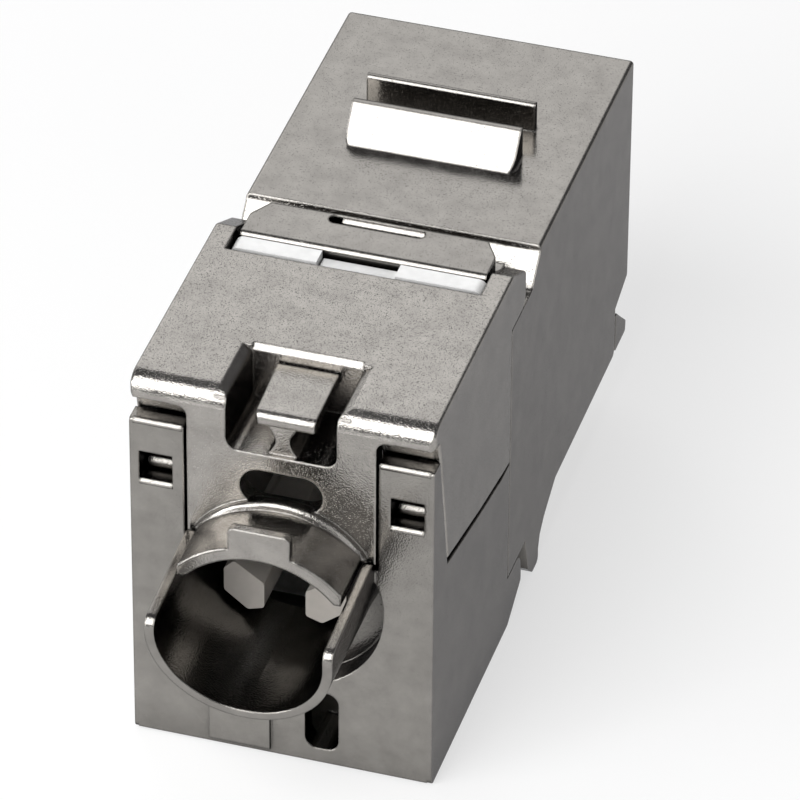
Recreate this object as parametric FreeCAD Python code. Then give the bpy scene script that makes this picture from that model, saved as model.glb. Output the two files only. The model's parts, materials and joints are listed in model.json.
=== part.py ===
import FreeCAD, Part
import os
from math import sin, cos, hypot

# Shielded keystone jack: a die-cast front housing with the plug port, and two die-cast
# jaws hinged to it that close over the wire manager and clamp the cable.
# Millimetres. X is across the jack, Y runs from the plug port (low) to the cable (high),
# Z is up. Depths called "s" are measured back from the port face.

Vec = FreeCAD.Vector

# ---- overall sizes --------------------------------------------------------------------
body_width = 14.5
hinge_depth = 19.7              # hinge axes behind the port face
jaw_length = 14.0               # from the hinge axes to the rear plane of the closed jaws
cradle_reach = 6.5              # how far the cable cradle stands out behind that plane
jaw_top = 20.5                  # height over the closed jaws
ridge_rise = 0.2                # the snap ridges stand this much above the jaws
nose_drop = 1.4                 # front housing's deck below the top of the jaws
body_bottom = 3.0
wall = 1.05                     # die-cast side walls
seam = 0.10                     # open line between housing and jaws
part_gap = 0.18                 # open line between the two jaws

half = body_width / 2.0
rear = hinge_depth + jaw_length
mid_depth = (rear + cradle_reach) / 2.0
mid_height = jaw_top / 2.0
nose_top = jaw_top - nose_drop

# ---- hinges ---------------------------------------------------------------------------
hinge_drop = 2.1                # hinge axis below the jaw top, and above the jaw bottom
upper_hinge = (hinge_depth, jaw_top - hinge_drop)
lower_hinge = (hinge_depth, hinge_drop)
trunnion_r = 0.7
trunnion_play = 0.05
trunnion_depth = 0.95
arm_gap = 0.10
arm_end_r = 0.82
arm_bottom = upper_hinge[1] - arm_end_r
bar_half = half - wall - arm_gap
bar_front = hinge_depth - 1.2
bar_rear = hinge_depth + 1.55
bar_top = jaw_top - 0.1
ledge_top = arm_bottom - 0.08   # side wall height under the upper hinge arms

# ---- jaws -----------------------------------------------------------------------------
seam_depth = hinge_depth + 1.38  # rear edge of the housing's side walls
plate_front = hinge_depth + 3.05  # front edge of the jaws' broad plates
rear_roll = 1.0                 # rounding of the upper jaw's rear top edge
lower_roll = 0.45               # rounding of the lower jaw's rear bottom edge
seam_height = mid_height - 0.3  # where the line between the jaws meets the seam
tip_rise = 1.75                 # that line climbs to the lower rear corner of the upper jaw
tip_depth = rear - 2.36
tip_height = seam_height + tip_rise
slant_top = (rear - 0.98, jaw_top - 1.9)
lip = 1.1                       # thickness of the upper jaw's lips over the posts
lip_under = jaw_top - lip
flange_thickness = 1.0
flange_half = half - 2.75
post_thickness = 1.25
post_edge = 1.0                 # thinner where the upper jaw's side comes down in front
post_width = 2.6
post_top = lip_under - 1.2
window_high = lip_under - 2.97
window_low = window_high - 1.63
window_out = half - 0.45
window_in = window_out - 1.6

# ---- pocket and pull tab in the top plate ---------------------------------------------
pocket_half = 2.65
pocket_depth = 3.0
pocket_length = 4.05
pocket_bevel = 0.25            # rounded lip across the front of the pocket
pocket_flare = 0.5             # and the wider ones along its sides
pull_tab_half = 1.47

# ---- cable end ------------------------------------------------------------------------
cradle_wall = 0.45
cradle_r = half - 3.25
cradle_axis = mid_height + 1.05
cradle_lean = 0.177             # lean of the cradle's open rim
arch_wall = 0.6
arch_r = cradle_r + 0.65
arch_axis = mid_height - 0.8
arch_reach = 3.4
arch_half = arch_r - 0.75
rim_tab_half = 1.47
root_r = arch_r + 0.22          # raised crescent where the arch meets the flange
root_axis = arch_axis + 0.75
flange_low = arch_axis + 3.0
cradle_top_front = flange_low + 0.2
cradle_top_rear = flange_low - 0.4
recess_r = cradle_r + 0.9
recess_depth = 1.3

# ---- latch ----------------------------------------------------------------------------
channel_half = half - 1.35      # room for the latch between the side walls
channel_top = 4.6
latch_pivot = (9.5, 3.75)
latch_pin_r = 0.4

# ---- plug port ------------------------------------------------------------------------
port_half = half - 1.3
port_high = nose_top - 3.2
port_low = channel_top + 4.3
keyway_half = 3.15
keyway_low = port_low - 1.8
front_wall = 1.2
lining_half = half - 0.85
lining_low = keyway_low - 0.6
lining_top = nose_top - 1.2
lining_rear = hinge_depth - 6.3
port_depth = lining_rear - 1.0
contact_count = 8
contact_pitch = 1.02
contact_width = 0.36
contact_stock = 0.25

# ---- wiring block ---------------------------------------------------------------------
rear_floor = channel_top + 0.9  # inside bottom behind the plug port
board_front = lining_rear + 0.65
board_rear = board_front + 1.0
block_half = bar_half - 0.1
blade_outer = bar_half - 1.5
blade_rows = (rear_floor + 1.9, ledge_top - 2.9)
blade_middle = (blade_rows[0] + blade_rows[1]) / 2.0


def y_of(s):
    return s - mid_depth


def block(x_low, x_high, s_low, s_high, z_low, z_high):
    corner = Vec(x_low, y_of(s_low), z_low)
    return Part.makeBox(x_high - x_low, s_high - s_low, z_high - z_low, corner)


# The same block on both sides of the jack.
def pair(x_low, x_high, s_low, s_high, z_low, z_high):
    right = block(x_low, x_high, s_low, s_high, z_low, z_high)
    left = block(-x_high, -x_low, s_low, s_high, z_low, z_high)
    return [right, left]


# Moves an outline of (s, z) points so that it starts from the given depth.
def behind(start, outline):
    return [(start + s, z) for s, z in outline]


# Closed wire of straight sides, each corner rounded by its own tangent arc.
def rounded_wire(points, radius):
    count = len(points)
    radii = radius if isinstance(radius, (list, tuple)) else [radius] * count
    edges = []
    last = None
    first = None
    for i in range(count):
        before = points[i - 1]
        here = points[i]
        after = points[(i + 1) % count]
        r = radii[i]
        into = (before - here).normalize()
        out = (after - here).normalize()
        if r <= 0 or into.cross(out).Length < 1e-6:
            start = end = here
            arc = None
        else:
            half_turn = into.getAngle(out) / 2.0
            reach = r * cos(half_turn) / sin(half_turn)
            start = here + into * reach
            end = here + out * reach
            bisector = (into + out).normalize()
            middle = here + bisector * (r / sin(half_turn) - r)
            arc = Part.Arc(start, middle, end).toShape()
        if last is not None and (start - last).Length > 1e-7:
            edges.append(Part.LineSegment(last, start).toShape())
        if arc is not None:
            edges.append(arc)
        if first is None:
            first = start
        last = end
    if (first - last).Length > 1e-7:
        edges.append(Part.LineSegment(last, first).toShape())
    return Part.Wire(edges)


# A side view outline of (s, z) points, carried across from x_low to x_high.
def side_prism(outline, x_low, x_high, radius=0.0):
    points = [Vec(x_low, y_of(s), z) for s, z in outline]
    face = Part.Face(rounded_wire(points, radius))
    return face.extrude(Vec(x_high - x_low, 0, 0))


# A rear view outline of (x, z) points, carried from s_low back to s_high.
def rear_prism(outline, s_low, s_high, radius=0.0):
    points = [Vec(x, y_of(s_low), z) for x, z in outline]
    face = Part.Face(rounded_wire(points, radius))
    return face.extrude(Vec(0, s_high - s_low, 0))


# A top view outline of (x, s) points, carried up from z_low to z_high.
def plan_prism(outline, z_low, z_high, radius=0.0):
    points = [Vec(x, y_of(s), z_low) for x, s in outline]
    face = Part.Face(rounded_wire(points, radius))
    return face.extrude(Vec(0, 0, z_high - z_low))


def rod_across(s, z, r, x_low, x_high):
    return Part.makeCylinder(r, x_high - x_low, Vec(x_low, y_of(s), z), Vec(1, 0, 0))


def rod_along(x, z, r, s_low, s_high):
    return Part.makeCylinder(r, s_high - s_low, Vec(x, y_of(s_low), z), Vec(0, 1, 0))


def flip_sides(shape):
    return shape.mirror(Vec(0, 0, 0), Vec(1, 0, 0))


def both_sides(shape):
    return [shape, flip_sides(shape)]


def fuse(shapes):
    whole = shapes[0].multiFuse(shapes[1:])
    return whole.removeSplitter()


def cut(shape, tools):
    return shape.cut(Part.makeCompound(tools) if len(tools) > 1 else tools[0])


def round_edges(shape, radius, wanted):
    edges = [e for e in shape.Edges if wanted(e.BoundBox)]
    return shape.makeFillet(radius, edges)


# Turns a side outline of the upper jaw into the matching one of the lower jaw.
def upside_down(outline):
    return [(s, jaw_top - z) for s, z in outline]


def save(shape, name):
    solids = shape.Solids
    if len(solids) != 1:
        raise ValueError("%s is %d solids" % (name, len(solids)))
    if not solids[0].isValid():
        raise ValueError("%s isn't valid" % name)
    solids[0].exportStep("parts/" + name + ".step")
    print(name, "%.1f mm3" % solids[0].Volume)


# ---- front housing --------------------------------------------------------------------
ridge_top = jaw_top + ridge_rise
ridge_half = 4.2
ridge_offset = -0.13            # the ridges sit a little to one side of the middle
fin_depth = 7.0                 # upright front ridge
fin_thickness = 0.4
ramp_depth = 9.45               # rear ridge with its long slope
deck_end = hinge_depth - 3.4    # the deck drops here toward the hinges
deck_step = 0.3


def snap_ridges():
    low = nose_top - 0.4
    fin_rear = fin_depth + fin_thickness
    fin = side_prism([(fin_depth, low), (fin_depth, ridge_top - 0.05), (fin_rear, ridge_top - 0.05),
                      (fin_rear, low)], ridge_offset - ridge_half, ridge_offset + ridge_half,
                     [0, 0.18, 0.18, 0])
    ramp = side_prism([(ramp_depth, low), (ramp_depth, ridge_top), (ramp_depth + 0.3, ridge_top),
                       (ramp_depth + 1.7, nose_top), (ramp_depth + 1.7, low)],
                      ridge_offset - ridge_half, ridge_offset + ridge_half)
    corners = plan_prism([(ridge_offset - ridge_half, ramp_depth - 0.3),
                          (ridge_offset + ridge_half, ramp_depth - 0.3),
                          (ridge_offset + ridge_half, ramp_depth + 2.0),
                          (ridge_offset - ridge_half, ramp_depth + 2.0)],
                         low - 0.1, ridge_top + 0.1, [0, 0, 0.9, 0.9])
    return [fin, ramp.common(corners)]


def hinge_bar(low):
    bar = side_prism([(bar_front, low), (bar_front, bar_top), (bar_rear, bar_top),
                      (bar_rear, low)], -bar_half, bar_half, [0, 0, 0.3, 0])
    corner = plan_prism([(bar_half - 0.8, bar_front - 0.1), (bar_half + 0.1, bar_front - 0.1),
                         (bar_half + 0.1, bar_rear + 0.1), (bar_half - 0.12, bar_rear + 0.1),
                         (bar_half - 0.12, bar_front + 1.15), (bar_half - 0.8, bar_front)],
                        upper_hinge[1] + trunnion_r + 0.2, bar_top + 0.1,
                        [0, 0, 0, 0, 0.3, 0])
    return cut(bar, both_sides(corner))


def ear():
    outline = [(-6.9, 3.4), (-6.9, 3.02), (-5.8, 2.5), (-4.9, 2.05), (-4.2, 1.45), (-3.95, 0.75),
               (-3.98, 0.05), (-2.95, 0.05), (-2.15, 0.84), (-1.55, 2.9), (-1.55, 3.4)]
    return side_prism(behind(hinge_depth, outline), half - wall, half,
                      [0, 0, 0, 0, 0, 0, 0.3, 0.45, 0, 0, 0])


def front_housing():
    outline = [(0, 6.3), (0, nose_top), (deck_end, nose_top), (deck_end + 0.12, nose_top - deck_step),
               (deck_end + 1.48, ledge_top), (seam_depth, ledge_top), (seam_depth, body_bottom),
               (2.3, body_bottom), (2.3, 5.57)]
    body = side_prism(outline, -half, half, [0.3, 0.2, 0, 0, 0.3, 0.15, 0, 0.3, 0])

    def deck_edge(b):
        return b.XLength < 0.01 and abs(b.Center.x) > half - 0.01 and b.ZMin > nose_top - 0.01

    body = round_edges(body, 0.2, lambda b: deck_edge(b) and b.YLength > 5.0)
    bar_low = ledge_top - 0.7
    slot = plan_prism([(-2.35, bar_front + 0.1), (2.35, bar_front + 0.1),
                       (2.35, bar_front + 0.72), (-2.35, bar_front + 0.72)],
                      bar_top - 0.9, bar_top + 0.1, 0.3)
    bar = cut(hinge_bar(bar_low), [slot])
    lower_bar = side_prism(upside_down([(bar_front, bar_low - 0.9), (bar_front, bar_top),
                                        (bar_rear, bar_top), (bar_rear, bar_low - 0.9)]),
                           -bar_half, bar_half, [0, 0.2, 0.3, 0])
    whole = fuse([body, bar, lower_bar] + snap_ridges() + both_sides(ear()))
    inside = lining_half
    hollow = [
        block(-inside, inside, front_wall, lining_rear + 0.6, lining_low, lining_top),
        block(-bar_half, bar_half, lining_rear + 0.5, bar_rear + 0.1, rear_floor, ledge_top - 0.8),
        block(-port_half, port_half, -0.1, front_wall + 0.1, port_low, port_high),
        block(-keyway_half, keyway_half, -0.1, front_wall + 0.1, keyway_low, port_low + 0.1),
        block(-channel_half, channel_half, 2.0, bar_front - 0.5, body_bottom - 0.1, channel_top),
    ]
    whole = cut(whole, hollow)
    bores = []
    for hinge in (upper_hinge, lower_hinge):
        bore = rod_across(hinge[0], hinge[1], trunnion_r + trunnion_play,
                          bar_half - trunnion_depth - 0.1, bar_half + 0.2)
        bores += both_sides(bore)
    pin_hole = rod_across(latch_pivot[0], latch_pivot[1], latch_pin_r + trunnion_play,
                          channel_half - 0.1, channel_half + 0.75)
    bores += both_sides(pin_hole)
    return cut(whole, bores)


# ---- jaws -----------------------------------------------------------------------------
# Front of a hinge arm in (s, z): its lowest corner is rounded about the hinge axis.
def arm_front():
    s, z = upper_hinge
    front = s - arm_end_r
    return [(s - 0.9, jaw_top - 1.15), (s - 0.9, jaw_top - 1.7), (front, z + 0.05),
            (front, z - arm_end_r)]


# Broad plate of a jaw, bevelled where its front edge swings past the wire manager.
def lid_outline():
    bevel = 0.35
    return [(plate_front, jaw_top), (rear, jaw_top), (rear, lip_under),
            (plate_front + bevel, lip_under), (plate_front, lip_under + bevel)]


def upper_cheek():
    edge = seam_depth + seam
    side = [(hinge_depth + 1.3, jaw_top), (rear, jaw_top), (rear, lip_under),
            (rear - 0.8, lip_under), slant_top, (tip_depth, tip_height),
            (hinge_depth + 6.4, seam_height + 0.65), (hinge_depth + 2.8, seam_height + 0.04),
            (edge, seam_height), (edge, arm_bottom)]
    side += list(reversed(arm_front()))
    corner = [0.3, rear_roll, 0.08, 0.3, 0, 0.12, 0, 0, 0.1, 0, arm_end_r, 0, 0, 0.15]
    cheek = side_prism(side, half - wall, half, corner)

    def outer_top(b):
        return (b.XLength < 0.01 and abs(b.Center.x) > half - 0.01 and b.ZMin > jaw_top - 0.01
                and b.YLength > 2.0)

    return round_edges(cheek, 0.15, outer_top)


def catch():
    low = window_low + 0.15
    front = rear - 1.95
    tip = rear - post_thickness + 0.3
    return side_prism([(front, low), (tip, low), (tip, low + 0.25), (tip - 0.15, low + 0.45),
                       (front, low + 0.45)], window_in + 0.1, window_out - 0.1)


def upper_jaw():
    pieces = both_sides(upper_cheek())
    lid = side_prism(lid_outline(), -half + 0.4, half - 0.4, [0.12, rear_roll, 0.08, 0, 0])
    pieces.append(lid)
    flare = flange_half + 0.8
    flange = rear_prism([(-flare, lip_under + 0.25), (-flare, lip_under), (-flange_half, lip_under),
                         (-flange_half, flange_low), (flange_half, flange_low),
                         (flange_half, lip_under), (flare, lip_under), (flare, lip_under + 0.25)],
                        rear - flange_thickness, rear, [0, 0, 0.5, 0, 0, 0.5, 0, 0])
    pieces.append(flange)
    pocket_floor = jaw_top - pocket_depth
    pocket_front = rear - pocket_length
    pieces.append(block(-pocket_half - 0.6, pocket_half + 0.6, pocket_front - 0.6, rear - 0.2,
                        pocket_floor - 0.6, jaw_top - 0.3))
    pieces += pair(flange_half - 0.1, bar_half, rear - 1.95, rear - post_thickness - 0.12,
                   window_low - 0.6, lip_under + 0.1)
    pieces += pair(flange_half - 0.1, half - 0.3, rear - 1.95, rear - 0.95, post_top + 0.15,
                   lip_under + 0.1)
    pieces += both_sides(catch())
    trunnion = rod_across(upper_hinge[0], upper_hinge[1], trunnion_r,
                          bar_half - trunnion_depth, half - 0.3)
    pieces += both_sides(trunnion)
    whole = fuse(pieces)
    over = 2.0 * pocket_bevel
    wide = pocket_half + 2.0 * pocket_flare
    pocket = rear_prism([(-wide, jaw_top + pocket_bevel), (-pocket_half, jaw_top - pocket_bevel),
                         (-pocket_half, pocket_floor), (pocket_half, pocket_floor),
                         (pocket_half, jaw_top - pocket_bevel), (wide, jaw_top + pocket_bevel)],
                        pocket_front, rear + 1.0, [0, 0.3, 0.6, 0.6, 0.3, 0])
    front_bevel = side_prism([(pocket_front - over, jaw_top + pocket_bevel),
                              (pocket_front, jaw_top - pocket_bevel),
                              (pocket_front + 0.5, jaw_top - pocket_bevel),
                              (pocket_front + 0.5, jaw_top + pocket_bevel)],
                             -pocket_half, pocket_half)
    slot_low = arch_axis + arch_r + 0.5
    slot_high = slot_low + 2.0
    slot = rear_prism([(-1.98, slot_low), (1.98, slot_low), (1.98, slot_high), (-1.98, slot_high)],
                      rear - 2.2, rear + 0.3, 0.98)
    lip_corner = plan_prism([(half - 0.22, rear), (half, rear - 0.3), (half + 0.2, rear - 0.3),
                             (half + 0.2, rear + 0.2), (half - 0.22, rear + 0.2)],
                            lip_under - 0.05, jaw_top + 0.1)
    whole = cut(whole, [pocket, front_bevel, slot] + both_sides(lip_corner))
    whole = fuse([whole] + cable_arch())
    whole = cut(whole, [rod_along(0, arch_axis, arch_r, rear - 2.7, rear + arch_reach + 1.0)])
    return fuse([whole] + pull_tab(pocket_front, pocket_floor))


# T-shaped tab in the pocket: a plate a little askew on a web with hollow flanks.
def pull_tab(front, floor):
    top = jaw_top - 0.7
    wide = pull_tab_half
    head = plan_prism([(-wide - 0.07, front + 0.1), (wide - 0.06, front + 0.1),
                       (wide - 0.25, rear), (-wide - 0.13, rear)], top - 0.6, top,
                      [0, 0, 0.3, 0.2])
    crest = side_prism([(front, top - 0.7), (front, top), (rear - 0.03, top), (rear - 0.03, top - 0.7)],
                       -2.0 * wide, 2.0 * wide, [0, 0, 0.4, 0])
    web = rear_prism([(-0.75, floor - 0.1), (0.75, floor - 0.1), (0.21, floor + 0.75),
                      (0.9, top - 0.4), (-0.9, top - 0.4), (-0.21, floor + 0.75)],
                     front - 0.1, rear - 0.25, [0, 0, 0.7, 0, 0, 0.7])
    return [head.common(crest), web]


# Half tube of the upper jaw over the cable, with a raised tab on its rim.
def cable_arch():
    end = rear + arch_reach
    ring = rod_along(0, arch_axis, arch_r + arch_wall, rear - 0.7, end)
    low = block(-half, half, rear - 1.7, end + 1.0, 0.0, flange_low)
    sides = pair(arch_half, half + 1.0, rear, end + 1.0, 0.0, jaw_top)
    arch = cut(ring, [low] + sides)
    root = rod_along(0, root_axis, root_r, rear - 0.3, rear + 0.35)
    root = round_edges(root, 0.25, lambda b: b.YLength < 0.01 and b.YMin > y_of(rear + 0.3))
    root = cut(root, [block(-half, half, rear - 1.7, end + 1.0, 0.0, cradle_top_front + 0.1)])
    tab_top = arch_axis + arch_r + arch_wall + 1.0
    tab = block(-rim_tab_half, rim_tab_half, end - 0.45, end, arch_axis + arch_r + 0.1, tab_top)
    tab = round_edges(tab, 0.28, lambda b: b.YLength > 0.4 and b.ZMin > tab_top - 0.01)
    return [arch, root, tab]


def lower_cheek():
    edge = seam_depth + seam
    gap = part_gap
    side = [(edge, seam_height - gap), (hinge_depth + 2.8, seam_height + 0.04 - gap),
            (hinge_depth + 6.4, seam_height + 0.65 - gap),
            (tip_depth + 0.1, tip_height - gap - 0.06), (slant_top[0] + 0.04, post_top),
            (rear, post_top), (rear, 0), (hinge_depth + 1.3, 0)]
    side += upside_down(arm_front())
    side.append((edge, jaw_top - arm_bottom))
    corner = [0.1, 0, 0, 0.1, 0, 0.15, lower_roll, 0.3, 0.15, 0, 0, arm_end_r, 0]
    return side_prism(side, half - wall, half, corner)


def lower_jaw():
    pieces = both_sides(lower_cheek())
    lid = side_prism(upside_down(lid_outline()), -half + 0.3, half - 0.3,
                     [0.12, lower_roll, 0, 0, 0])
    pieces.append(lid)
    post_in = half - post_width
    between = flange_low - 0.35
    back = rear_prism([(-half + 0.2, lip - 0.9), (half - 0.2, lip - 0.9), (half - 0.2, between),
                       (-half + 0.2, between)], rear - lip, rear)
    pieces.append(back)
    pieces += pair(post_in, half - 0.2, rear - post_edge, rear, between - 0.6, post_top)
    pieces += pair(post_in, bar_half, rear - post_thickness, rear, between - 0.6, post_top)
    floor_ring = rod_along(0, arch_axis, recess_r + 0.3, rear - recess_depth - 1.0, rear - 0.7)
    pieces.append(cut(floor_ring, [block(-half, half, hinge_depth, rear + 1.0, between, jaw_top)]))
    trunnion = rod_across(lower_hinge[0], lower_hinge[1], trunnion_r,
                          bar_half - trunnion_depth, half - 0.3)
    pieces += both_sides(trunnion)
    whole = fuse(pieces)
    between_posts = block(-post_in, post_in, rear - 2.7, rear + 1.0, between, jaw_top)
    recess = rod_along(0, arch_axis, recess_r, rear - recess_depth, rear + 1.0)
    windows = pair(window_in, window_out, rear - 1.7, rear + 1.0, window_low, window_high)
    windows += pair(bar_half, window_out, rear - 2.2, rear - post_edge, window_low,
                    post_top + 0.1)
    slot = rear_prism([(-2.75, 1.0), (-1.1, 1.0), (-1.1, 4.35), (-2.75, 4.35)],
                      rear - 2.7, rear + 1.0, 0.6)
    whole = cut(whole, [between_posts, recess, slot] + windows)
    pad = side_prism([(rear - 0.2, 0.45), (rear + 0.25, 0.45), (rear + 0.25, 2.5),
                      (rear - 0.2, 2.5)], 0.55, 3.5, [0, 0.2, 0.1, 0])
    whole = fuse([whole, cable_cradle(), pad])
    cable_room = rear_prism(cradle_outline(cradle_r, cradle_axis + 3.0), rear - 2.7,
                            rear + cradle_reach + 1.0, [0, cradle_r - 0.01, cradle_r - 0.01, 0])
    return cut(whole, [cable_room])


def cradle_outline(r, top):
    low = cradle_axis - r
    return [(-r, top), (-r, low), (r, low), (r, top)]


def cable_cradle():
    outer = cradle_r + cradle_wall
    end = rear + cradle_reach
    shell = rear_prism(cradle_outline(outer, cradle_axis + 1.7), rear - 1.5, end + 0.5,
                       [0, outer - 0.01, outer - 0.01, 0])
    low = cradle_axis - outer - 0.5
    keep = side_prism([(rear - 2.2, low), (rear - 2.2, flange_low - 0.45),
                       (rear + 0.15, flange_low - 0.45), (rear + 0.15, cradle_top_front),
                       (rear + 0.6, cradle_top_front), (end, cradle_top_rear),
                       (end, cradle_axis), (end - cradle_lean * (cradle_axis - low), low)],
                      -half, half, [0, 0, 0, 0.2, 0, 0.6, 0, 0])
    return shell.common(keep)


# ---- keystone latch -------------------------------------------------------------------
def keystone_latch():
    beam_half = channel_half - 0.15
    hook = side_prism([(0.25, 3.05), (0.2, 3.65), (1.1, 4.45), (2.02, 5.3), (2.12, 5.2),
                       (2.12, 3.05)], -half, half, [0.15, 0.2, 0.2, 0, 0, 0.1])
    upper = [(1.9, 3.1), (1.9, 4.15), (latch_pivot[0] + 1.9, 4.15)]
    tail = [(-5.7, 3.65), (-4.3, 2.5), (-3.4, 1.6), (-2.3, 1.5), (-1.95, 1.0), (-2.5, 0.3),
            (-3.6, 0.3), (-4.2, 1.0), (-5.0, 2.1), (-6.2, 3.1)]
    lever = side_prism(upper + behind(hinge_depth, tail), -beam_half, beam_half,
                       [0, 0, 0, 0.8, 0, 0.5, 0.25, 0.25, 0.3, 0.5, 0.5, 0, 0.5])
    pin = rod_across(latch_pivot[0], latch_pivot[1], latch_pin_r,
                     beam_half - 0.4, channel_half + 0.65)
    whole = fuse([hook, lever] + both_sides(pin))
    relief = plan_prism([(-2.6, 4.2), (2.6, 4.2), (2.6, hinge_depth - 7.3),
                         (-2.6, hinge_depth - 7.3)], 2.0, 5.0, 1.0)
    return cut(whole, [relief])


# ---- plug port ------------------------------------------------------------------------
contact_level = port_high + 0.52
comb_front = lining_rear - 3.6
comb_half = contact_pitch * contact_count / 2.0 + 0.5


def contact_x(i):
    return (i - (contact_count + 1) / 2.0) * contact_pitch


# The contacts' tails pass the board in two rows, odd numbers above even ones.
def tail_level(i):
    return blade_middle + (0.6 if i % 2 else -0.6)


def port_insert():
    edge = lining_half - 0.05
    lining = block(-edge, edge, front_wall + 0.05, lining_rear, lining_low + 0.05,
                   lining_top - 0.05)
    plug = block(-port_half, port_half, 0.0, port_depth, port_low, port_high)
    key = block(-keyway_half, keyway_half, 0.0, port_depth - 2.0, keyway_low, port_low + 0.1)
    comb_room = block(-comb_half, comb_half, 3.0, lining_rear + 0.6, port_high - 0.1,
                      port_high + 1.4)
    return cut(lining, [plug, key, comb_room])


def contact_carrier():
    edge = comb_half - 0.05
    comb = block(-edge, edge, comb_front, lining_rear - 0.05, port_high + 0.05, port_high + 1.38)
    grooves = []
    for i in range(1, contact_count + 1):
        x = contact_x(i)
        side_room = contact_width / 2.0 + 0.02
        grooves.append(block(x - side_room, x + side_room, comb_front - 0.1, lining_rear + 0.1,
                             port_high, contact_level + contact_stock / 2.0 + 0.02))
    return cut(comb, grooves)


# Flat stock of one thickness that follows a path of (s, z) points at x.
def strip(path, width, x, stock, bends):
    left = []
    right = []
    count = len(path)
    for i in range(count):
        a = path[max(i - 1, 0)]
        b = path[i]
        c = path[min(i + 1, count - 1)]
        before = (b[0] - a[0], b[1] - a[1])
        after = (c[0] - b[0], c[1] - b[1])
        normals = []
        for d in (before, after):
            size = hypot(d[0], d[1])
            if size > 1e-9:
                normals.append((-d[1] / size, d[0] / size))
        n = (sum(v[0] for v in normals), sum(v[1] for v in normals))
        size = hypot(n[0], n[1])
        share = size / len(normals)
        n = (n[0] / size, n[1] / size)
        offset = stock / 2.0 / share
        left.append((b[0] + n[0] * offset, b[1] + n[1] * offset))
        right.append((b[0] - n[0] * offset, b[1] - n[1] * offset))
    return side_prism(left + right[::-1], x - width / 2.0, x + width / 2.0, bends + bends[::-1])


def port_contact(i):
    level = tail_level(i)
    path = [(comb_front + 0.1, port_high - 2.05), (comb_front - 0.7, port_high - 2.4),
            (3.75, port_high - 0.15), (4.5, contact_level), (board_front - 0.3, contact_level),
            (board_front - 0.3, level), (board_rear + 0.15, level)]
    return strip(path, contact_width, contact_x(i), contact_stock, [0, 0, 0.2, 0, 0, 0, 0])


def contact_board():
    board = block(-block_half, block_half, board_front, board_rear, rear_floor + 0.1,
                  ledge_top - 0.9)
    holes = []
    for i in range(1, contact_count + 1):
        x = contact_x(i)
        z = tail_level(i)
        holes.append(block(x - 0.25, x + 0.25, board_front - 0.1, board_rear + 0.1, z - 0.2, z + 0.2))
    for x in blade_positions():
        for z in blade_rows:
            holes.append(block(x - 0.3, x + 0.3, board_front - 0.1, board_rear + 0.1,
                               z - 0.3, z + 0.3))
    return cut(board, holes)


def blade_positions():
    inner = blade_outer / 3.0
    return (-blade_outer, -inner, inner, blade_outer)


def idc_contact(x, z):
    start = board_front - 0.1
    fork = hinge_depth - 2.4
    tip = hinge_depth + 0.5
    outline = [(start, z - 0.2), (start + 1.45, z - 0.2), (start + 1.85, z - 1.15),
               (tip - 0.6, z - 1.15), (tip, z - 0.55), (tip - 0.9, z - 0.17), (fork, z - 0.17),
               (fork, z + 0.17), (tip - 0.9, z + 0.17), (tip, z + 0.55), (tip - 0.6, z + 1.15),
               (start + 1.85, z + 1.15), (start + 1.45, z + 0.2), (start, z + 0.2)]
    return side_prism(outline, x - 0.2, x + 0.2)


def idc_block():
    end = hinge_depth + 0.9
    solid = block(-block_half, block_half, board_rear + 0.25, end, rear_floor + 0.1,
                  ledge_top - 0.95)
    slots = []
    for z in blade_rows:
        for x in blade_positions():
            slots.append(block(x - 0.3, x + 0.3, board_rear, end + 0.4, z - 1.3, z + 1.3))
        slots.append(block(-half, half, end - 2.2, end + 0.4, z - 0.55, z + 0.55))
    slots.append(block(-3.2, 3.2, end - 1.2, end + 0.4, blade_middle - 1.1, blade_middle + 1.1))
    return cut(solid, slots)


# ---- wire manager ---------------------------------------------------------------------
guide_reach = 0.5               # the wire guides end this far in front of the jaws' rear


def wire_manager():
    edge = bar_half + 0.02
    front = bar_rear + 0.13
    middle = cradle_axis - 0.9
    front_plate = rear_prism([(-edge, 0.2), (edge, 0.2), (edge, jaw_top - 0.2),
                              (-edge, jaw_top - 0.2)], front, front + 0.97, 0.45)
    neck = block(-half + 1.55, half - 1.55, hinge_depth + 1.05, front + 0.2,
                 rear_floor + 0.4, ledge_top - 1.3)
    core = block(-half + 1.4, half - 1.4, front + 0.8, plate_front + 2.25, rear_floor - 0.9,
                 ledge_top - 1.5)
    whole = fuse([front_plate, neck, core])
    cuts = [block(-1.9, 1.9, front - 0.3, front + 1.7, jaw_top - 0.85, jaw_top + 0.5),
            block(-1.9, 1.9, front - 0.3, front + 1.7, -1.0, 0.85)]
    cuts.append(rod_along(0, middle, 3.4, front + 1.3, rear))
    for x in blade_positions():
        for low, high in ((blade_rows[1] - 0.5, ledge_top - 0.5),
                          (rear_floor - 2.0, blade_rows[0] - 0.6)):
            cuts.append(block(x - 0.6, x + 0.6, front - 0.9, rear, low, high))
    whole = cut(whole, cuts)
    guide = rear_prism([(1.0, middle - 2.1), (1.8, middle - 2.35), (2.95, middle - 1.45),
                        (2.95, middle - 0.2), (2.45, middle + 0.3), (1.0, middle - 0.7)],
                       plate_front, rear - guide_reach, 0.2)
    foot = block(1.2, 2.9, front + 0.9, plate_front + 2.2, middle - 4.4, middle - 1.0)
    return fuse([whole] + both_sides(guide) + both_sides(foot))


def shield_spring():
    edge = port_half - 0.05
    bow = [(edge, 1.4), (edge, 8.4), (edge - 0.18, 8.4), (edge - 0.18, 7.6), (edge - 0.48, 5.4),
           (edge - 0.48, 4.4), (edge - 0.18, 2.2), (edge - 0.18, 1.4)]
    return plan_prism(bow, port_high - 5.3, port_high - 2.5, [0, 0, 0, 0.5, 0.8, 0.8, 0.5, 0])


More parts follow.
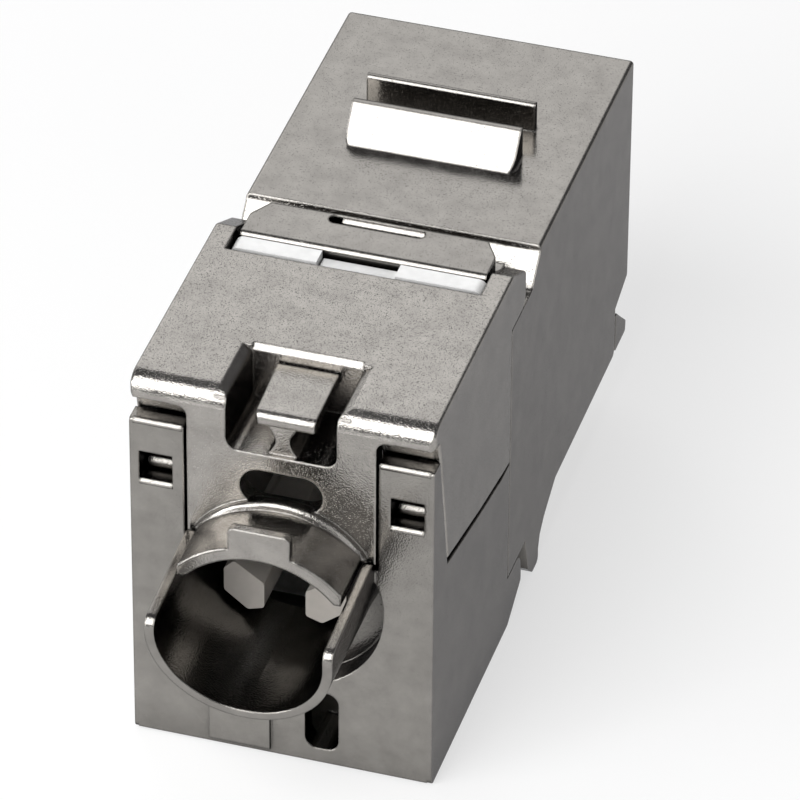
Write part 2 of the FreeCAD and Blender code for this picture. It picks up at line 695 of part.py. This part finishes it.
os.makedirs("parts", exist_ok=True)
save(front_housing(), "front_housing")
save(upper_jaw(), "upper_jaw")
save(lower_jaw(), "lower_jaw")
save(keystone_latch(), "keystone_latch")
save(port_insert(), "port_insert")
save(contact_carrier(), "contact_carrier")
for number in range(1, contact_count + 1):
    save(port_contact(number), "port_contact_%d" % number)
save(contact_board(), "contact_board")
save(idc_block(), "idc_block")
number = 0
for blade_z in blade_rows:
    for blade_x in blade_positions():
        number += 1
        save(idc_contact(blade_x, blade_z), "idc_contact_%d" % number)
save(wire_manager(), "wire_manager")
right_spring = shield_spring()
save(right_spring, "shield_spring_right")
save(flip_sides(right_spring), "shield_spring_left")
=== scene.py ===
import bpy
import bmesh
import json
from math import radians, sin, cos
from mathutils import Vector, Quaternion, Matrix


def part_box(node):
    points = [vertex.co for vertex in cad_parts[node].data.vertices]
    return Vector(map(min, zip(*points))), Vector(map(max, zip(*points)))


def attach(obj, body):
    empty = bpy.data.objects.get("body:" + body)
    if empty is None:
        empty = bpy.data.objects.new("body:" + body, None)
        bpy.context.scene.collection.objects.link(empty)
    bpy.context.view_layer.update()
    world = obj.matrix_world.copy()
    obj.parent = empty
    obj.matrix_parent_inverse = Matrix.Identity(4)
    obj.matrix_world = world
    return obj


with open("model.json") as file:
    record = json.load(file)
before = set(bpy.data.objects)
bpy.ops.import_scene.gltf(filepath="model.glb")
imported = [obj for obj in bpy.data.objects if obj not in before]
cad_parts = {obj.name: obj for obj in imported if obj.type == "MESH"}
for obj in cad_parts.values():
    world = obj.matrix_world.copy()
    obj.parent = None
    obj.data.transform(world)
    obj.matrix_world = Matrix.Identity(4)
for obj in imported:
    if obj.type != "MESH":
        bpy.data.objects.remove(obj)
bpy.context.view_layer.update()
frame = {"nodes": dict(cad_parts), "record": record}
nodes = frame["nodes"]
mm = 0.001
print("frame loaded:", len(nodes), "solids")


# the camera stands behind the cable end, a little to its right
viewpoint = {
    "target": (-1.288 * mm, -0.804 * mm, 10.890 * mm),
    "distance": 340.87 * mm,
    "azimuth": 196.683,
    "elevation": 36.612,
    "roll": 0.4514,
    "lens": 324.18,
    "sensor": 36.0,
    "nearest": 0.01,
    "farthest": 20.0,
}


def lookDirection(azimuth, elevation):
    a = radians(azimuth)
    e = radians(elevation)
    return Vector((-sin(a) * cos(e), cos(a) * cos(e), -sin(e)))


def addCamera(spec):
    look = lookDirection(spec["azimuth"], spec["elevation"])
    data = bpy.data.cameras.new("jackCamera")
    data.lens = spec["lens"]
    data.sensor_width = spec["sensor"]
    data.clip_start = spec["nearest"]
    data.clip_end = spec["farthest"]
    camera = bpy.data.objects.new("jackCamera", data)
    camera.location = Vector(spec["target"]) - look * spec["distance"]
    camera.rotation_mode = "QUATERNION"
    turn = Quaternion((0, 0, 1), radians(spec["roll"]))
    camera.rotation_quaternion = look.to_track_quat("-Z", "Y") @ turn
    bpy.context.scene.collection.objects.link(camera)
    bpy.context.scene.camera = camera


addCamera(viewpoint)
print("camera placed")


def addNode(tree, kind, **values):
    node = tree.nodes.new(kind)
    for key, value in values.items():
        if key in node.inputs:
            node.inputs[key].default_value = value
        else:
            setattr(node, key, value)
    return node


def wire(tree, source, output, target, socket):
    tree.links.new(source.outputs[output], target.inputs[socket])


def newMaterial(name):
    material = bpy.data.materials.new(name)
    material.use_nodes = True
    tree = material.node_tree
    return material, tree, tree.nodes["Principled BSDF"]


# soft studio: a tall key box behind the camera, a broad panel ahead for the top faces,
# and panels at the sides
studio = {
    "floorColor": (0.94, 0.94, 0.94, 1.0),
    "floorRoughness": 0.9,
    "floorRadius": 1.5,
    "floorSides": 96,
    "floorGlow": 0.62,
    "worldColor": (0.15, 0.15, 0.155, 1.0),
    "aimHeight": 10.0 * mm,
    "lampDistance": 0.60,
    "lamps": {
        "keyBox": {"toward": (0.26, 0.72, 0.65), "size": (0.40, 0.52), "power": 3.9},
        "topPanel": {"toward": (0.30, -0.75, 0.60), "size": (0.46, 0.40), "power": 0.80},
        "leftPanel": {"toward": (0.74, 0.62, 0.22), "size": (0.26, 0.30), "power": 2.3},
        "farLeftPanel": {"toward": (0.72, -0.62, 0.32), "size": (0.36, 0.30), "power": 0.36},
        "rightPanel": {"toward": (-0.62, 0.68, 0.38), "size": (0.42, 0.34), "power": 0.48},
    },
}


def addLamp(name, lamp, distance, center):
    data = bpy.data.lights.new(name, "AREA")
    data.shape = "RECTANGLE"
    data.size, data.size_y = lamp["size"]
    data.energy = lamp["power"]
    box = bpy.data.objects.new(name, data)
    toward = Vector(lamp["toward"]).normalized()
    box.location = center + toward * distance
    box.rotation_euler = toward.to_track_quat("Z", "Y").to_euler()
    bpy.context.scene.collection.objects.link(box)


def floorMaterial(spec):
    # the paper glows a little wherever it is seen, directly or mirrored, and keeps its shadow
    material, tree, shader = newMaterial("floorPaper")
    shader.inputs["Base Color"].default_value = spec["floorColor"]
    shader.inputs["Roughness"].default_value = spec["floorRoughness"]
    paths = tree.nodes.new("ShaderNodeLightPath")
    seen, output = paths, "Is Camera Ray"
    for ray in ("Is Glossy Ray", "Is Transmission Ray"):
        total = addNode(tree, "ShaderNodeMath", operation="ADD", use_clamp=True)
        wire(tree, seen, output, total, 0)
        wire(tree, paths, ray, total, 1)
        seen, output = total, "Value"
    share = addNode(tree, "ShaderNodeMath", operation="MULTIPLY")
    share.inputs[1].default_value = spec["floorGlow"]
    wire(tree, seen, output, share, 0)
    glow = addNode(tree, "ShaderNodeEmission", Strength=1.0)
    mix = tree.nodes.new("ShaderNodeMixShader")
    wire(tree, share, "Value", mix, 0)
    wire(tree, shader, "BSDF", mix, 1)
    wire(tree, glow, "Emission", mix, 2)
    wire(tree, mix, "Shader", tree.nodes["Material Output"], "Surface")
    return material


def addStudio(spec):
    bm = bmesh.new()
    bmesh.ops.create_circle(bm, cap_ends=True, segments=spec["floorSides"],
                            radius=spec["floorRadius"])
    mesh = bpy.data.meshes.new("studioFloor")
    bm.to_mesh(mesh)
    bm.free()
    floor = bpy.data.objects.new("studioFloor", mesh)
    mesh.materials.append(floorMaterial(spec))
    bpy.context.scene.collection.objects.link(floor)
    world = bpy.data.worlds.new("studioWorld")
    world.use_nodes = True
    world.node_tree.nodes["Background"].inputs["Color"].default_value = spec["worldColor"]
    bpy.context.scene.world = world
    center = Vector((0, 0, spec["aimHeight"]))
    for name, lamp in spec["lamps"].items():
        addLamp(name, lamp, spec["lampDistance"], center)


addStudio(studio)
bpy.context.scene.view_settings.view_transform = "Standard"
print("studio set")


black = (0, 0, 0, 1)
white = (1, 1, 1, 1)


def noise(tree, coords, scale, detail=2.0, roughness=0.5):
    node = addNode(tree, "ShaderNodeTexNoise", Scale=scale, Detail=detail, Roughness=roughness)
    wire(tree, coords, "Object", node, "Vector")
    return node


def ramp(tree, source, output, span, lowColor, highColor):
    node = tree.nodes.new("ShaderNodeValToRGB")
    for stop, place, color in zip(node.color_ramp.elements, span, (lowColor, highColor)):
        stop.position = place
        stop.color = color
    wire(tree, source, output, node, "Fac")
    return node


def mapRange(tree, source, output, span, result=(0.0, 1.0)):
    node = tree.nodes.new("ShaderNodeMapRange")
    wire(tree, source, output, node, "Value")
    for socket, value in zip(("From Min", "From Max", "To Min", "To Max"), span + result):
        node.inputs[socket].default_value = value
    return node


def bump(tree, source, output, distance, strength=1.0, under=None):
    node = addNode(tree, "ShaderNodeBump", Strength=strength, Distance=distance)
    wire(tree, source, output, node, "Height")
    if under:
        wire(tree, under, "Normal", node, "Normal")
    return node


def multiplyColor(tree, color, shade, shader):
    mix = addNode(tree, "ShaderNodeMix", data_type="RGBA", blend_type="MULTIPLY")
    mix.inputs["Factor"].default_value = 1.0
    tree.links.new(color, mix.inputs[6])
    tree.links.new(shade.outputs["Color"], mix.inputs[7])
    tree.links.new(mix.outputs[2], shader.inputs["Base Color"])


def paintRecessShade(tree, color, depth, tone, shader, span=(0.12, 0.62)):
    # painted shade: ambient occlusion darkens the base colour in deep recesses
    recess = addNode(tree, "ShaderNodeAmbientOcclusion", Distance=depth, samples=6)
    shade = ramp(tree, recess, "AO", span, (tone, tone, tone, 1), white)
    multiplyColor(tree, color.outputs["Color"], shade, shader)


# the housing is cast finer than the two jaws; each part's shade scales the one nickel colour,
# painted light on the upper jaw and painted shade on the housing and lower jaw
castFinishAndShade = {
    "housing": {
        "shade": 0.94,
        "pitScale": 13000.0,
        "pitSpan": (0.24, 0.38),
        "pitDepth": 0.006 * mm,
        "skinDepth": 0.0035 * mm,
        "recessShadeDepth": 3.0 * mm,
        "recessShadeTone": 0.15,
    },
    "upperJaw": {
        "shade": 1.12,
        "pitScale": 19000.0,
        "pitSpan": (0.26, 0.39),
        "pitDepth": 0.011 * mm,
        "skinDepth": 0.014 * mm,
        "recessShadeDepth": 2.2 * mm,
        "recessShadeTone": 0.15,
    },
    "lowerJaw": {
        "shade": 0.90,
        "pitScale": 19000.0,
        "pitSpan": (0.24, 0.38),
        "pitDepth": 0.006 * mm,
        "skinDepth": 0.009 * mm,
        "recessShadeDepth": 6.0 * mm,
        "recessShadeTone": 0.08,
    },
}
castNickel = {
    "dark": (0.262, 0.250, 0.234),
    "light": (0.322, 0.308, 0.288),
    "edgeTint": (0.45, 0.45, 0.46, 1.0),
    "skinScale": 12000.0,
    "cloudScale": 900.0,
    "cloudSpan": (0.30, 0.70),
    "roughness": (0.11, 0.18),
    "edgeRadius": 0.17 * mm,
}


def castMaterial(name, spec, finish):
    material, tree, shader = newMaterial(name)
    coords = tree.nodes.new("ShaderNodeTexCoord")
    grain = noise(tree, coords, finish["pitScale"], roughness=0.55)
    skin = noise(tree, coords, spec["skinScale"], detail=1.0)
    cloud = noise(tree, coords, spec["cloudScale"], detail=3.0, roughness=0.55)
    # painted light and shade: the shared nickel colours scaled by the part's shade
    dark, light = ([v * finish["shade"] for v in spec[key]] + [1.0] for key in ("dark", "light"))
    color = ramp(tree, cloud, "Fac", spec["cloudSpan"], dark, light)
    # painted shade in recesses, multiplied into the nickel colour
    paintRecessShade(tree, color, finish["recessShadeDepth"], finish["recessShadeTone"], shader)
    rough = mapRange(tree, cloud, "Fac", spec["cloudSpan"], spec["roughness"])
    wire(tree, rough, "Result", shader, "Roughness")
    shader.inputs["Metallic"].default_value = 1.0
    shader.inputs["Specular Tint"].default_value = spec["edgeTint"]
    rounded = addNode(tree, "ShaderNodeBevel", Radius=spec["edgeRadius"], samples=6)
    satin = bump(tree, skin, "Fac", finish["skinDepth"], under=rounded)
    pits = ramp(tree, grain, "Fac", finish["pitSpan"], black, white)
    pitted = bump(tree, pits, "Color", finish["pitDepth"], under=satin)
    wire(tree, pitted, "Normal", shader, "Normal")
    return material


# moulded plastics and the lacquered board
mouldedLooks = {
    "blackLining": {
        "color": (0.028, 0.028, 0.030),
        "roughness": 0.42,
        "grainScale": 3000.0,
        "grainDepth": 0.004 * mm,
        "recessShadeSpan": (0.08, 0.42),
    },
    "whiteManager": {
        "color": (0.90, 0.90, 0.89),
        "roughness": 0.38,
        "grainScale": 1500.0,
        "grainDepth": 0.003 * mm,
        "recessShadeSpan": (0.02, 0.30),
    },
    "boardGreen": {
        "color": (0.03, 0.16, 0.07),
        "roughness": 0.35,
        "grainScale": 2500.0,
        "grainDepth": 0.002 * mm,
        "recessShadeSpan": (0.08, 0.42),
    },
}
# grain of the moulded parts, and the reach and tone of the shade painted into their recesses
mouldedGrainAndShade = {
    "span": (0.35, 0.65),
    "deeper": 0.92,
    "strength": 0.4,
    "recessShadeDepth": 3.0 * mm,
    "recessShadeTone": 0.20,
}


def mouldedMaterial(name, common):
    spec = mouldedLooks[name]
    material, tree, shader = newMaterial(name)
    coords = tree.nodes.new("ShaderNodeTexCoord")
    grain = noise(tree, coords, spec["grainScale"])
    deeper = [v * common["deeper"] for v in spec["color"]] + [1.0]
    tint = ramp(tree, grain, "Fac", common["span"], deeper, spec["color"] + (1.0,))
    # painted shade in recesses, multiplied into the plastic's colour
    paintRecessShade(tree, tint, common["recessShadeDepth"], common["recessShadeTone"], shader, spec["recessShadeSpan"])
    shader.inputs["Roughness"].default_value = spec["roughness"]
    skin = bump(tree, grain, "Fac", spec["grainDepth"], common["strength"])
    wire(tree, skin, "Normal", shader, "Normal")
    return material


# plated contacts, blades and springs
platedLooks = {
    "goldContact": {
        "dark": (0.80, 0.56, 0.22, 1),
        "light": (0.95, 0.72, 0.34, 1),
        "roughness": 0.22,
    },
    "tinnedBlade": {
        "dark": (0.58, 0.58, 0.57, 1),
        "light": (0.72, 0.72, 0.70, 1),
        "roughness": 0.30,
    },
}
platedGrain = {"scale": 6000.0, "span": (0.35, 0.65)}


def platedMaterial(name, common):
    spec = platedLooks[name]
    material, tree, shader = newMaterial(name)
    coords = tree.nodes.new("ShaderNodeTexCoord")
    grain = noise(tree, coords, common["scale"])
    tint = ramp(tree, grain, "Fac", common["span"], spec["dark"], spec["light"])
    wire(tree, tint, "Color", shader, "Base Color")
    shader.inputs["Metallic"].default_value = 1.0
    shader.inputs["Roughness"].default_value = spec["roughness"]
    return material


# painted shade: the white plastic is darkened towards the cable end, where its prongs sit in
# shade
cableEndShade = {"span": (2.3 * mm, 4.6 * mm), "tone": (0.50, 0.47, 0.44, 1)}


def shadeTowardsCable(material, spec):
    tree = material.node_tree
    shader = tree.nodes["Principled BSDF"]
    color = shader.inputs["Base Color"].links[0].from_socket
    coords = tree.nodes.new("ShaderNodeTexCoord")
    split = tree.nodes.new("ShaderNodeSeparateXYZ")
    wire(tree, coords, "Object", split, "Vector")
    # painted shade ramp along the part's depth
    place = mapRange(tree, split, "Y", spec["span"])
    shade = ramp(tree, place, "Result", (0.0, 1.0), white, spec["tone"])
    multiplyColor(tree, color, shade, shader)


# by material slot, and by node for the two jaws
finishes = {
    "zinc_casting": castMaterial("castHousing", castNickel, castFinishAndShade["housing"]),
    "upper_jaw": castMaterial("castUpperJaw", castNickel, castFinishAndShade["upperJaw"]),
    "lower_jaw": castMaterial("castLowerJaw", castNickel, castFinishAndShade["lowerJaw"]),
    "black_plastic": mouldedMaterial("blackLining", mouldedGrainAndShade),
    "white_plastic": mouldedMaterial("whiteManager", mouldedGrainAndShade),
    "contact_metal": platedMaterial("goldContact", platedGrain),
    "tinned_metal": platedMaterial("tinnedBlade", platedGrain),
    "board": mouldedMaterial("boardGreen", mouldedGrainAndShade),
}
# painted shade on the white plastic towards the cable end
shadeTowardsCable(finishes["white_plastic"], cableEndShade)

for part in frame["record"]["subparts"]:
    mesh = nodes[part["node"]].data
    mesh.materials.clear()
    mesh.materials.append(finishes.get(part["node"], finishes[part["material_slot"]]))
print("finishes assigned")


sharpAngle = radians(35)
tiny = 0.001 * mm
barHigh = Vector(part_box("front_housing")[1])
jawHigh = Vector(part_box("upper_jaw")[1])
postHigh = Vector(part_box("lower_jaw")[1])
managerLow, managerHigh = (Vector(corner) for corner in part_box("wire_manager"))


def addPiece(bm, name, body, finish):
    for face in bm.faces:
        face.smooth = True
    bmesh.ops.recalc_face_normals(bm, faces=bm.faces)
    mesh = bpy.data.meshes.new(name)
    bm.to_mesh(mesh)
    bm.free()
    mesh.set_sharp_from_angle(angle=sharpAngle)
    mesh.materials.append(finishes[finish])
    piece = bpy.data.objects.new(name, mesh)
    bpy.context.scene.collection.objects.link(piece)
    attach(piece, body)
    return piece


def turn(bm, verts, center, angle, axis):
    matrix = Matrix.Rotation(radians(angle), 3, axis)
    bmesh.ops.rotate(bm, verts=verts, cent=center, matrix=matrix)


# corners of a block, placed across, behind and below a point of the frame
def cornersFrom(y, z, spec):
    return [Vector((across, y + behind, z - below))
            for across, behind, below in zip(spec["across"], spec["behind"], spec["below"])]


def block(bm, low, high):
    made = bmesh.ops.create_cube(bm, size=1.0)["verts"]
    bmesh.ops.scale(bm, vec=high - low, verts=made)
    bmesh.ops.translate(bm, vec=(low + high) / 2, verts=made)


def bevelEdges(bm, edges, width, segments):
    bmesh.ops.bevel(bm, geom=edges, offset=width, offset_type="OFFSET", affect="EDGES",
                    segments=segments, profile=0.5, material=-1)


# a thin rolled bead along the outer edge of the arch, either side of its tab;
# its axis lies a little below the middle height of the closed jaws
archBead = {
    "axisDrop": 0.80 * mm,
    "radius": 5.22 * mm,
    "thickness": 0.085 * mm,
    "setBack": 0.06 * mm,
    "inner": 17.5,
    "outer": 47.3,
    "sides": 12,
    "steps": 36,
}


def addBead(spec):
    bm = bmesh.new()
    axis = Vector((0, jawHigh.y - spec["setBack"], jawHigh.z / 2 - spec["axisDrop"]))
    for side in (-1, 1):
        made = bmesh.ops.create_circle(bm, cap_ends=True, segments=spec["sides"],
                                       radius=spec["thickness"])["verts"]
        turn(bm, made, (0, 0, 0), 90, "Y")
        bmesh.ops.translate(bm, vec=axis + Vector((0, 0, spec["radius"])), verts=made)
        turn(bm, made, axis, side * spec["inner"], "Y")
        faces = list({face for vert in made for face in vert.link_faces})
        bmesh.ops.spin(bm, geom=faces, cent=axis, axis=(0, side, 0), steps=spec["steps"],
                       angle=radians(spec["outer"] - spec["inner"]), use_merge=False)
    return addPiece(bm, "archBead", "upper_jaw", "upper_jaw")


addBead(archBead)

# the groove in the hinge bar has a sloping, rough front wall;
# measured from the bar's rear face and the top of the jaws
barGroove = {
    "across": (-2.30 * mm, 1.75 * mm),
    "behind": (-2.75 * mm, -2.43 * mm),
    "below": (0.90 * mm, 0.18 * mm),
    "slope": 0.17 * mm,
}


def addGroove(spec):
    bm = bmesh.new()
    low, high = cornersFrom(barHigh.y, jawHigh.z, spec)
    block(bm, low, high)
    edges = [edge for edge in bm.edges
             if all(v.co.z > high.z - tiny and v.co.y > high.y - tiny for v in edge.verts)]
    bevelEdges(bm, edges, spec["slope"], 1)
    return addPiece(bm, "barGroove", "housing", "upper_jaw")


addGroove(barGroove)

# a pale sill crosses the notch of the wire manager, measured from its front and top
notchSill = {
    "across": (-1.92 * mm, 1.86 * mm),
    "behind": (0.65 * mm, 1.59 * mm),
    "below": (1.00 * mm, 0.33 * mm),
    "slope": 0.12 * mm,
}


def addSill(spec):
    bm = bmesh.new()
    low, high = cornersFrom(managerLow.y, managerHigh.z, spec)
    block(bm, low, high)
    edges = [edge for edge in bm.edges if all(v.co.z > high.z - tiny for v in edge.verts)]
    bevelEdges(bm, edges, spec["slope"], 2)
    return addPiece(bm, "notchSill", "housing", "white_plastic")


addSill(notchSill)

# rough raised rims on the post tops and the window sills catch the light;
# the arch reaches past the posts' rear faces, and heights are below the post tops
rims = {
    "archReach": 3.4 * mm,
    "radius": 0.17 * mm,
    "inset": 0.11 * mm,
    "sides": 6,
    "tilt": 15,
    "postTop": {"from": 4.72 * mm, "to": 7.08 * mm, "below": 0.0},
    "windowSill": {"from": 5.20 * mm, "to": 6.80 * mm, "below": 3.40 * mm},
}


def addRims(spec):
    bm = bmesh.new()
    depth = jawHigh.y - spec["archReach"] - spec["inset"]
    for rim in (spec["postTop"], spec["windowSill"]):
        height = postHigh.z - rim["below"] - spec["inset"]
        for side in (-1, 1):
            made = bmesh.ops.create_cone(bm, cap_ends=True, segments=spec["sides"],
                                         radius1=spec["radius"], radius2=spec["radius"],
                                         depth=rim["to"] - rim["from"])["verts"]
            turn(bm, made, (0, 0, 0), 90, "Y")
            turn(bm, made, (0, 0, 0), spec["tilt"], "X")
            spot = (side * (rim["from"] + rim["to"]) / 2, depth, height)
            bmesh.ops.translate(bm, verts=made, vec=spot)
    return addPiece(bm, "jawRims", "lower_jaw", "upper_jaw")


addRims(rims)
print("castings trimmed")
